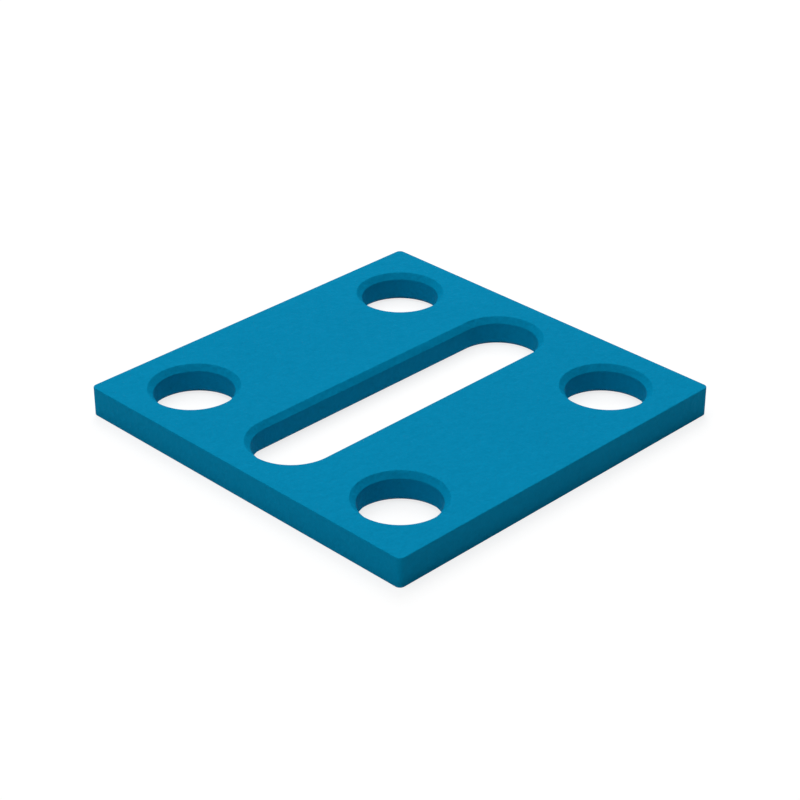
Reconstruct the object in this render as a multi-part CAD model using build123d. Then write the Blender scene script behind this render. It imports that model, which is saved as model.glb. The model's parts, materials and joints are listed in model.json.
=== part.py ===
from build123d import *
import os

# Fixture plate: one square plate, cut from flat stock, that carries work or a clamp on a
# machine table. A bolt hole stands near each corner, and a round-ended slot runs along the
# middle, so that a clamp bolt can slide. It is a single piece with nothing inserted in it.
#
# Frame: the origin is the middle of the underside, +X runs along the slot, +Y runs across
# it and +Z points up. All sizes are in millimetres.

# The stock and its outline. The four upright corners are rounded, and the long edges of the
# outline are left sharp.
plate_length = 75.0
plate_width = 75.0
plate_thickness = 5.45
corner_radius = 1.0

# The bolt holes. Their centres stand this far in from the plate's edges, which leaves 50 mm
# from hole to hole both ways.
bolt_hole_diameter = 14.1
bolt_hole_inset = 12.5

# The clamp slot. Its length is set by the holes, below.
slot_width = 14.1

# Every hole and slot rim is broken at 45 degrees, on the top face and on the underside.
rim_chamfer = 1.0

hole_pitch_x = plate_length - 2 * bolt_hole_inset
hole_pitch_y = plate_width - 2 * bolt_hole_inset

# The slot's rounded ends are centred in line with the holes beside them.
slot_end_pitch = hole_pitch_x


def blank():
    """The square stock with its corners rounded, before anything is cut through it."""
    outline = RectangleRounded(plate_length, plate_width, corner_radius)
    return extrude(outline, plate_thickness)


def bolt_holes():
    """The profile of the four round holes, one near each corner."""
    corners = GridLocations(hole_pitch_x, hole_pitch_y, 2, 2)
    return corners * Circle(bolt_hole_diameter / 2)


def clamp_slot():
    """The profile of the round-ended slot, centred on the plate and running along X."""
    return SlotCenterToCenter(slot_end_pitch, slot_width)


def cut_through(body, profiles):
    """Each profile cut straight through the body, from the underside to the top face."""
    for profile in profiles:
        body -= extrude(profile, plate_thickness)
    return body


def break_rims(body):
    """The rims of all openings chamfered at both faces. The plate's own outline stays sharp."""
    faces = body.faces().sort_by(Axis.Z)
    rims = []
    for face in (faces[0], faces[-1]):
        for opening in face.inner_wires():
            rims.extend(opening.edges())
    return body.chamfer(rim_chamfer, None, rims)


plate = break_rims(cut_through(blank(), [*bolt_holes(), clamp_slot()]))

os.makedirs("parts", exist_ok=True)
export_step(plate, "parts/plate.step")
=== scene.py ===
import bpy
import json
import math
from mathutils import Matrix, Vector


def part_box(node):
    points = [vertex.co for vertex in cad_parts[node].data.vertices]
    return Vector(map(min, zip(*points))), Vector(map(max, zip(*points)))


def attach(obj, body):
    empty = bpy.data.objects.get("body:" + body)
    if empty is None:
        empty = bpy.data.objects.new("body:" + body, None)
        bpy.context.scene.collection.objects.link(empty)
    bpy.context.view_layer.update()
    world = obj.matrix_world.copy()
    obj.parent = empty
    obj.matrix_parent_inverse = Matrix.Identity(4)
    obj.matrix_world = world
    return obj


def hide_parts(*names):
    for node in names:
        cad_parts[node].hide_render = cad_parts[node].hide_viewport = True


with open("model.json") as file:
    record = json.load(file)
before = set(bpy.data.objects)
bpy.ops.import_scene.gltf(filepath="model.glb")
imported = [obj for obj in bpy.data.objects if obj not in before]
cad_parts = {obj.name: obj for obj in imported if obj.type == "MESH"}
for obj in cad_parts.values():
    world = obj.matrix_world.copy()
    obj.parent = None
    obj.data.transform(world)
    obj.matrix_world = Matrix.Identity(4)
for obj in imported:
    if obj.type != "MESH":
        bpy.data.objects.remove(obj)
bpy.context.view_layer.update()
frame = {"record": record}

# The fixture plate: one square of flat steel, drilled near each corner and slotted along the
# middle for a clamp bolt. Its hole and slot rims are chamfered at both faces, its outline is
# left square edged, and a matt blue powder coat is baked on over all of it.
mm = 0.001
plate_low, plate_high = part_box("plate")
plate_length, plate_width, plate_thickness = plate_high - plate_low
mounts = {mount["name"]: mount for mount in frame["record"]["mounts"]}
hole_pattern = mounts["bolt_holes"]["dims"]
hole_radius = hole_pattern["hole_r_mm"] * mm
hole_pitch_x = hole_pattern["spacing_x_mm"] * mm
hole_pitch_y = hole_pattern["spacing_y_mm"] * mm
holes_in_a_row = 2
slot_width = 2 * hole_radius
corner_radius = 1.0 * mm
rim_chamfer = 1.0 * mm

# The melted coat draws every sharp edge into a small round. In the mesh, each wall laps on to
# the flat faces by the margin, which keeps those faces flat right up to the round.
coat_rounding = 0.12 * mm
flat_margin = 0.3 * mm
weld_gap = 0.001 * mm
rounding_points = 4
rim_arc_steps = 24
corner_arc_steps = 10


def chosen(sockets, label):
    """The socket at this number, or the one in use that has this name."""
    if isinstance(label, int):
        return sockets[label]
    return next(socket for socket in sockets if socket.enabled and socket.name == label)


class Wire:
    """One output of a node. Sums that are written on wires add the Math nodes for them. A wire
    with no node stands for the tree alone, as a place to add the first nodes."""

    def __init__(self, tree, node=None, output=0):
        self.tree = tree
        self.node = node
        self.socket = chosen(node.outputs, output) if node and node.outputs else None

    def add(self, kind, inputs=None, output=0, **settings):
        """Adds a node of any kind: first its settings, then what its sockets take."""
        node = self.tree.nodes.new(kind)
        for name, value in settings.items():
            setattr(node, name, value)
        made = Wire(self.tree, node, output)
        for label, value in (inputs or {}).items():
            made.feed(label, value)
        return made

    def feed(self, label, value):
        """Gives one of the node's sockets a plain value, a wire, or a list of wires."""
        socket = chosen(self.node.inputs, label)
        if isinstance(value, Wire):
            self.tree.links.new(value.socket, socket)
        elif isinstance(value, list):
            for wire in value:
                self.tree.links.new(wire.socket, socket)
        else:
            socket.default_value = value

    def beside(self, output):
        """Another output of the same node."""
        return Wire(self.tree, self.node, output)

    def maths(self, operation, *values):
        """Adds a Math node that works on these wires and numbers."""
        return self.add("ShaderNodeMath", dict(enumerate(values)), operation=operation)

    def __add__(self, other):
        return self.maths("ADD", self, other)

    def __radd__(self, other):
        return self.maths("ADD", other, self)

    def __sub__(self, other):
        return self.maths("SUBTRACT", self, other)

    def __rsub__(self, other):
        return self.maths("SUBTRACT", other, self)

    def __mul__(self, other):
        return self.maths("MULTIPLY", self, other)

    def __rmul__(self, other):
        return self.maths("MULTIPLY", other, self)

    def __truediv__(self, other):
        return self.maths("DIVIDE", self, other)

    def __rtruediv__(self, other):
        return self.maths("DIVIDE", other, self)


def new_tree(name, sockets):
    """A new geometry tree with these named inputs, and the wires that they come in on."""
    tree = bpy.data.node_groups.new(name, "GeometryNodeTree")
    for label, kind in sockets.items():
        tree.interface.new_socket(label, in_out="INPUT", socket_type=kind)
    tree.interface.new_socket("Geometry", in_out="OUTPUT", socket_type="NodeSocketGeometry")
    net = Wire(tree).add("NodeGroupInput")
    return net, [net.beside(label) for label in sockets]


def wall_section(net, corners, rounding):
    """The line that a wall is swept from. Each of its corners is given by how far out it lies
    from the wall and how high, and is then rounded off, as the coat rounds it."""
    line = net.add("GeometryNodeMeshLine", {"Count": len(corners)})
    line = net.add("GeometryNodeMeshToCurve", {"Mesh": line})
    index = net.add("GeometryNodeInputIndex")
    corner = net.add("GeometryNodeIndexSwitch", {"Index": index}, data_type="VECTOR")
    while len(corner.node.index_switch_items) < len(corners):
        corner.node.index_switch_items.new()
    for number, (out, height) in enumerate(corners, start=1):
        corner.feed(number, net.add("ShaderNodeCombineXYZ", {"X": out, "Z": height}))
    line = net.add("GeometryNodeSetPosition", {"Geometry": line, "Position": corner})
    return net.add("GeometryNodeFilletCurve", {
        "Curve": line,
        "Radius": rounding,
        "Count": rounding_points,
        "Limit Radius": True,
    }, mode="POLY")


def wall_tree():
    """Sweeps a section round a shape with four corner arcs. The plate's outline has them far
    apart, in the slot they meet two and two, and in a round hole all four share one centre."""
    net, (section, half_x, half_y, radius, arc_steps) = new_tree("wall", {
        "Section": "NodeSocketGeometry",
        "Arc Centre X": "NodeSocketFloat",
        "Arc Centre Y": "NodeSocketFloat",
        "Arc Radius": "NodeSocketFloat",
        "Arc Steps": "NodeSocketInt",
    })
    arcs = 4
    arc_angle = 2 * math.pi / arcs
    half = 0.5

    # Each arc has a column of points before its first step and after every step. One column more
    # comes round to where the first one stands, so that the wall can be welded shut there.
    arc_columns = arc_steps + 1
    columns = arcs * arc_columns + 1
    rows = net.add("GeometryNodeAttributeDomainSize", {"Geometry": section}, component="CURVE")
    sheet = net.add("GeometryNodeMeshGrid", {"Vertices X": columns, "Vertices Y": rows})

    def whole_times(count, size):
        """How often a whole size goes into a whole count. The half keeps it clear of rounding."""
        return net.maths("FLOOR", (count + half) / size)

    index = net.add("GeometryNodeInputIndex")
    column = whole_times(index, rows)
    row = index - column * rows
    arc = whole_times(column, arc_columns)
    step = column - arc * arc_columns
    turn = (arc + step / arc_steps) * arc_angle
    arc_middle = (arc + half) * arc_angle
    centre_x = net.maths("SIGN", net.maths("COSINE", arc_middle)) * half_x
    centre_y = net.maths("SIGN", net.maths("SINE", arc_middle)) * half_y
    point = net.add("GeometryNodeSampleIndex", {
        "Geometry": section,
        "Value": net.add("GeometryNodeInputPosition"),
        "Index": row,
    }, data_type="FLOAT_VECTOR")
    out = net.add("ShaderNodeSeparateXYZ", {"Vector": point}, "X")
    reach = radius + out
    place = net.add("ShaderNodeCombineXYZ", {
        "X": centre_x + net.maths("COSINE", turn) * reach,
        "Y": centre_y + net.maths("SINE", turn) * reach,
        "Z": out.beside("Z"),
    })
    swept = net.add("GeometryNodeSetPosition", {"Geometry": sheet, "Position": place})
    net.add("NodeGroupOutput", {"Geometry": swept})
    return net.tree


def plate_tree(coat):
    """The whole plate: its walls, and the two flat faces that fill what the walls leave open."""
    sizes = [
        "Length", "Width", "Thickness", "Corner Radius", "Hole Pitch X", "Hole Pitch Y",
        "Hole Radius", "Slot Width", "Rim Chamfer", "Coat Rounding",
    ]
    net, wires = new_tree("plate", dict.fromkeys(sizes, "NodeSocketFloat"))
    length, width, thickness, corner, pitch_x, pitch_y, bore, slot, chamfer, rounding = wires
    edge = wall_section(net, [
        (-flat_margin, 0.0), (0.0, 0.0), (0.0, thickness), (-flat_margin, thickness),
    ], rounding)
    rim = wall_section(net, [
        (chamfer + flat_margin, thickness), (chamfer, thickness), (0.0, thickness - chamfer),
        (0.0, chamfer), (chamfer, 0.0), (chamfer + flat_margin, 0.0),
    ], rounding)
    wall = wall_tree()

    def swept(section, half_x, half_y, radius, arc_steps):
        """One wall: the section swept round arcs whose centres lie this far out in X and Y."""
        return net.add("GeometryNodeGroup", {
            "Section": section,
            "Arc Centre X": half_x,
            "Arc Centre Y": half_y,
            "Arc Radius": radius,
            "Arc Steps": arc_steps,
        }, node_tree=wall)

    outline = swept(edge, length / 2 - corner, width / 2 - corner, corner, corner_arc_steps)
    slot_wall = swept(rim, pitch_x / 2, 0.0, slot / 2, rim_arc_steps)
    hole_wall = swept(rim, 0.0, 0.0, bore, rim_arc_steps)
    spots = net.add("GeometryNodeMeshGrid", {
        "Size X": pitch_x,
        "Size Y": pitch_y,
        "Vertices X": holes_in_a_row,
        "Vertices Y": holes_in_a_row,
    })
    hole_walls = net.add("GeometryNodeInstanceOnPoints", {"Points": spots, "Instance": hole_wall})
    hole_walls = net.add("GeometryNodeRealizeInstances", {"Geometry": hole_walls})
    walls = net.add("GeometryNodeJoinGeometry", {"Geometry": [outline, slot_wall, hole_walls]})
    walls = net.add("GeometryNodeMergeByDistance", {"Geometry": walls, "Distance": weld_gap})

    # Each wall ends in two open loops, whose edges have a face on one side only: one loop lies
    # in the top face, and one in the underside.
    lone_face = 1.0
    faces_there = net.add("GeometryNodeInputMeshEdgeNeighbors")
    is_open = net.maths("COMPARE", faces_there, lone_face)
    place = net.add("GeometryNodeInputPosition")
    height = net.add("ShaderNodeSeparateXYZ", {"Vector": place}, "Z")
    is_upper = net.maths("GREATER_THAN", height, thickness / 2)

    def filled(edges):
        """The flat face inside these loops. It is made at the underside's height, facing up."""
        loops = net.add("GeometryNodeMeshToCurve", {"Mesh": walls, "Selection": edges})
        return net.add("GeometryNodeFillCurve", {"Curve": loops}, mode="TRIANGLES")

    top_face = net.add("GeometryNodeSetPosition", {
        "Geometry": filled(is_open * is_upper),
        "Offset": net.add("ShaderNodeCombineXYZ", {"Z": thickness}),
    })
    underside = net.add("GeometryNodeFlipFaces", {"Mesh": filled(is_open * (1.0 - is_upper))})
    whole = net.add("GeometryNodeJoinGeometry", {"Geometry": [walls, top_face, underside]})
    whole = net.add("GeometryNodeMergeByDistance", {"Geometry": whole, "Distance": weld_gap})
    whole = net.add("GeometryNodeSetShadeSmooth", {"Geometry": whole, "Shade Smooth": True})
    whole = net.add("GeometryNodeRealizeInstances", {"Geometry": whole})
    whole = net.add("GeometryNodeSetMaterial", {"Geometry": whole, "Material": coat})
    net.add("NodeGroupOutput", {"Geometry": whole})
    return net.tree


def powder_coat():
    """The matt blue coat. Melted powder sets with a faint orange peel and a fine grain, and its
    blue drifts a little across the plate, where the powder has gone on thicker or thinner."""
    thin_blue = (0.0, 0.254, 0.468, 1)
    thick_blue = (0.0, 0.218, 0.404, 1)
    sheen = 0.01
    dullness = 0.62
    peel_dullness = 0.16
    peel_size = 1.2 * mm
    peel_depth = 0.16 * mm
    peel_tint = 0.6
    grain_size = 0.5 * mm
    grain_depth = 0.06 * mm
    grain_tint = 1.2
    drift_size = 22 * mm
    drift_tint = 0.6
    halfway = 0.5
    full_relief = 1.0
    material = bpy.data.materials.new("blue_powder_coat")
    material.use_nodes = True
    material.node_tree.nodes.clear()
    net = Wire(material.node_tree)
    place = net.add("ShaderNodeTexCoord", output="Object")

    def unevenness(size, detail):
        """A noise with blotches of about this size, as far below nought as above it."""
        noise = net.add("ShaderNodeTexNoise", {
            "Vector": place, "Scale": 1 / size, "Detail": detail,
        }, noise_dimensions="3D")
        return noise - halfway

    peel = unevenness(peel_size, detail=1.0)
    grain = unevenness(grain_size, detail=2.0)
    drift = unevenness(drift_size, detail=3.0)
    shader = net.add("ShaderNodeBsdfPrincipled", {
        "Base Color": net.add("ShaderNodeMix", {
            "Factor": halfway + drift * drift_tint + peel * peel_tint + grain * grain_tint,
            "A": thin_blue,
            "B": thick_blue,
        }, "Result", data_type="RGBA"),
        "Roughness": dullness + peel * peel_dullness,
        "Specular IOR Level": sheen,
        "Normal": net.add("ShaderNodeBump", {
            "Strength": full_relief,
            "Distance": full_relief,
            "Height": peel * peel_depth + grain * grain_depth,
        }),
    })
    net.add("ShaderNodeOutputMaterial", {"Surface": shader})
    return material


def made_by(tree, name, sizes):
    """The plain mesh object that a geometry tree makes from these sizes."""
    source = bpy.data.objects.new(name + "_source", bpy.data.meshes.new(name + "_source"))
    bpy.context.scene.collection.objects.link(source)
    shape = source.modifiers.new("shape", "NODES")
    shape.node_group = tree
    for item in tree.interface.items_tree:
        if item.in_out == "INPUT":
            shape[item.identifier] = sizes[item.name]
    source.modifiers.new("flat faces", "WEIGHTED_NORMAL")
    evaluated = source.evaluated_get(bpy.context.evaluated_depsgraph_get())
    mesh = bpy.data.meshes.new_from_object(evaluated)
    # The joined parts bring an empty material slot with them, ahead of the finish.
    finish = mesh.materials[-1]
    mesh.materials.clear()
    mesh.materials.append(finish)
    source.modifiers.clear()
    bpy.data.objects.remove(source)
    piece = bpy.data.objects.new(name, mesh)
    bpy.context.scene.collection.objects.link(piece)
    return piece


plate = made_by(plate_tree(powder_coat()), "coated_plate", {
    "Length": plate_length,
    "Width": plate_width,
    "Thickness": plate_thickness,
    "Corner Radius": corner_radius,
    "Hole Pitch X": hole_pitch_x,
    "Hole Pitch Y": hole_pitch_y,
    "Hole Radius": hole_radius,
    "Slot Width": slot_width,
    "Rim Chamfer": rim_chamfer,
    "Coat Rounding": coat_rounding,
})
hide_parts("plate")
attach(plate, "root")

# The camera: a long lens, which looks down across the plate's near corner at its middle and
# keeps the far edges almost as long as the near ones.
lens_length = 100.0
sensor_width = 36.0
camera_azimuth = -45
camera_elevation = 30
camera_distance = 0.38295
middle = (plate_low + plate_high) / 2


def aimed(name, data, azimuth, elevation, distance):
    """Links a camera or lamp at this azimuth and elevation in degrees, turned to the plate.
    Azimuth 0 looks along +Y, and the azimuth grows as the eye goes round to +X."""
    turn, rise = math.radians(azimuth), math.radians(elevation)
    back = Vector((
        math.sin(turn) * math.cos(rise), -math.cos(turn) * math.cos(rise), math.sin(rise),
    ))
    made = bpy.data.objects.new(name, data)
    made.location = middle + back * distance
    made.rotation_euler = back.to_track_quat("Z", "Y").to_euler()
    bpy.context.scene.collection.objects.link(made)
    return made


lens = bpy.data.cameras.new("camera")
lens.lens = lens_length
lens.sensor_width = sensor_width
bpy.context.scene.camera = aimed("camera", lens, camera_azimuth, camera_elevation, camera_distance)

# The floor: a wide sheet of matt white paper. To the camera, and in what mirrors it, it is
# white wherever it is lit, and it keeps the plate's soft shadow.
floor_reach = 1.5
paper_grey = 0.8
seen_grey = 0.25
seen_glow = 0.79


def grey(level):
    """A colour without a tint, from 0 for black to 1 for white."""
    return (level, level, level, 1)


def seen_rays(net):
    """One for the rays that the camera sends, straight or mirrored or through glass, else none."""
    ray = net.add("ShaderNodeLightPath", output="Is Camera Ray")
    return ray + ray.beside("Is Glossy Ray") + ray.beside("Is Transmission Ray")


def white_paper():
    """Paper that lights the plate as white paper does, and looks evenly white itself."""
    material = bpy.data.materials.new("white_paper")
    material.use_nodes = True
    material.node_tree.nodes.clear()
    net = Wire(material.node_tree)
    paper = net.add("ShaderNodeBsdfDiffuse", {"Color": grey(paper_grey)})
    shade = net.add("ShaderNodeBsdfDiffuse", {"Color": grey(seen_grey)})
    glow = net.add("ShaderNodeEmission", {"Color": grey(1), "Strength": seen_glow})
    seen = net.add("ShaderNodeAddShader", {0: shade, 1: glow})
    surface = net.add("ShaderNodeMixShader", {0: seen_rays(net), 1: paper, 2: seen})
    net.add("ShaderNodeOutputMaterial", {"Surface": surface})
    return material


floor = bpy.data.objects.new("floor", bpy.data.meshes.new("floor"))
floor.data.from_pydata([
    (-floor_reach, -floor_reach, 0), (floor_reach, -floor_reach, 0),
    (floor_reach, floor_reach, 0), (-floor_reach, floor_reach, 0),
], [], [(0, 1, 2, 3)])
floor.data.materials.append(white_paper())
bpy.context.scene.collection.objects.link(floor)

# The studio: a white room, with one large soft lamp overhead, one behind the plate, and two
# weaker ones at its left, high and low. Each lamp is given by its azimuth, its elevation, its
# width in metres and its watts.
lamps = {
    "overhead_lamp": (0, 90, 0.8, 5.0),
    "back_lamp": (135, 50, 0.6, 4.9),
    "high_left_lamp": (225, 65, 0.6, 1.5),
    "low_left_lamp": (270, 14, 0.6, 1.4),
}
lamp_distance = 1.0
room_light = 0.05
seen_white = 1.0
for name, (azimuth, elevation, width, watts) in lamps.items():
    lamp = bpy.data.lights.new(name, "AREA")
    lamp.size = width
    lamp.energy = watts
    aimed(name, lamp, azimuth, elevation, lamp_distance)


def white_room():
    """A world that is white to the camera and adds only a little light of its own."""
    world = bpy.data.worlds.new("white_room")
    world.use_nodes = True
    world.node_tree.nodes.clear()
    net = Wire(world.node_tree)
    unseen = net.add("ShaderNodeBackground", {"Color": grey(1), "Strength": room_light})
    seen = net.add("ShaderNodeBackground", {"Color": grey(1), "Strength": seen_white})
    surface = net.add("ShaderNodeMixShader", {0: seen_rays(net), 1: unseen, 2: seen})
    net.add("ShaderNodeOutputWorld", {"Surface": surface})
    return world


bpy.context.scene.world = white_room()
bpy.context.scene.view_settings.view_transform = "Standard"
